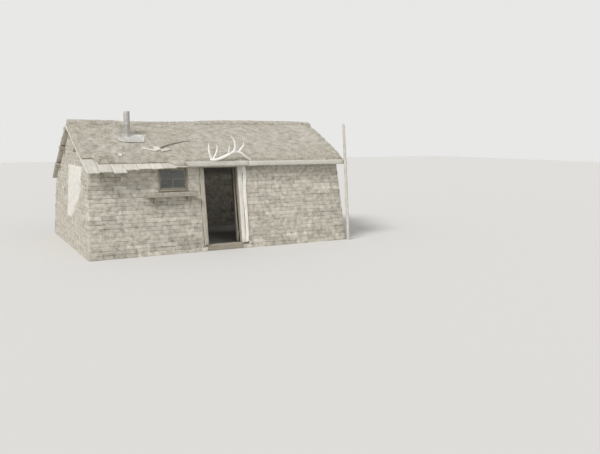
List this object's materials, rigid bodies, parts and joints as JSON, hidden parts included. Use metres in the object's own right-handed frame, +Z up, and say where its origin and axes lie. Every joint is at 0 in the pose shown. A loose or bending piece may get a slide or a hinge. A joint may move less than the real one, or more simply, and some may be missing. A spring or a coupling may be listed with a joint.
{
  "type": "turf house",
  "caption": "One-room prairie house of stacked sod with battered walls, plank and turf gable roof, a plank door standing open, one window, stovepipe and antlers over the door.",
  "frame": {"origin": "middle of the footprint's bounding box, on the ground", "axes": "+X along the front wall, left to right as seen from outside; +Y from the front into the house; +Z up"},
  "size_m": [7.145, 5.262, 3.44],
  "materials": {
    "sod": "dry stacked sod, matt",
    "turf": "dry grass and earth, matt",
    "weathered_wood": "weathered, matt",
    "pale_wood": "bleached, matt",
    "log_wood": "peeled, matt",
    "dead_wood": "rough, matt",
    "iron": "worn, satin",
    "stovepipe_iron": "sooty, matt",
    "tin": "dull, weathered",
    "glass": "old sheet glass",
    "antler": "bleached, matt"
  },
  "bodies": {
    "house": {"left_gable_wall": "sod", "right_gable_wall": "sod", "front_wall_left": "sod", "front_wall_right": "sod", "back_wall": "sod", "front_eave_fill": "sod", "back_eave_fill": "sod", "front_wall_plate": "weathered_wood", "back_wall_plate": "weathered_wood", "ridge_pole": "log_wood", "front_purlin": "log_wood", "back_purlins": "log_wood", "roof_boards_front": "weathered_wood", "roof_boards_back": "weathered_wood", "roof_turf_front": "turf", "roof_turf_back": "turf", "ridge_turf": "turf", "eave_plank": "pale_wood", "door_sill": "weathered_wood", "door_jamb_left": "weathered_wood", "door_jamb_right": "weathered_wood", "door_head": "weathered_wood", "door_casing_left": "weathered_wood", "door_casing_right": "pale_wood", "hinge_pintles": "iron", "window_frame": "weathered_wood", "window_sash": "weathered_wood", "window_glass": "glass", "window_shelf": "pale_wood", "shelf_brackets": "weathered_wood", "stovepipe": "stovepipe_iron", "pipe_flashing": "tin", "loose_boards": "pale_wood", "roof_branch": "dead_wood", "antlers": "antler", "corner_pole": "pale_wood"},
    "door": {"door_boards": "weathered_wood", "door_ledges": "weathered_wood", "hinge_straps": "iron", "door_handle": "iron"}
  },
  "joints": [
    {"name": "door_hinge", "type": "hinge", "parent": "house", "child": "door", "pos_m": [0.2465, -2.32301, 0.12576], "axis": [0, 0.1574, 0.9875], "range_deg": [0, 110]}
  ]
}
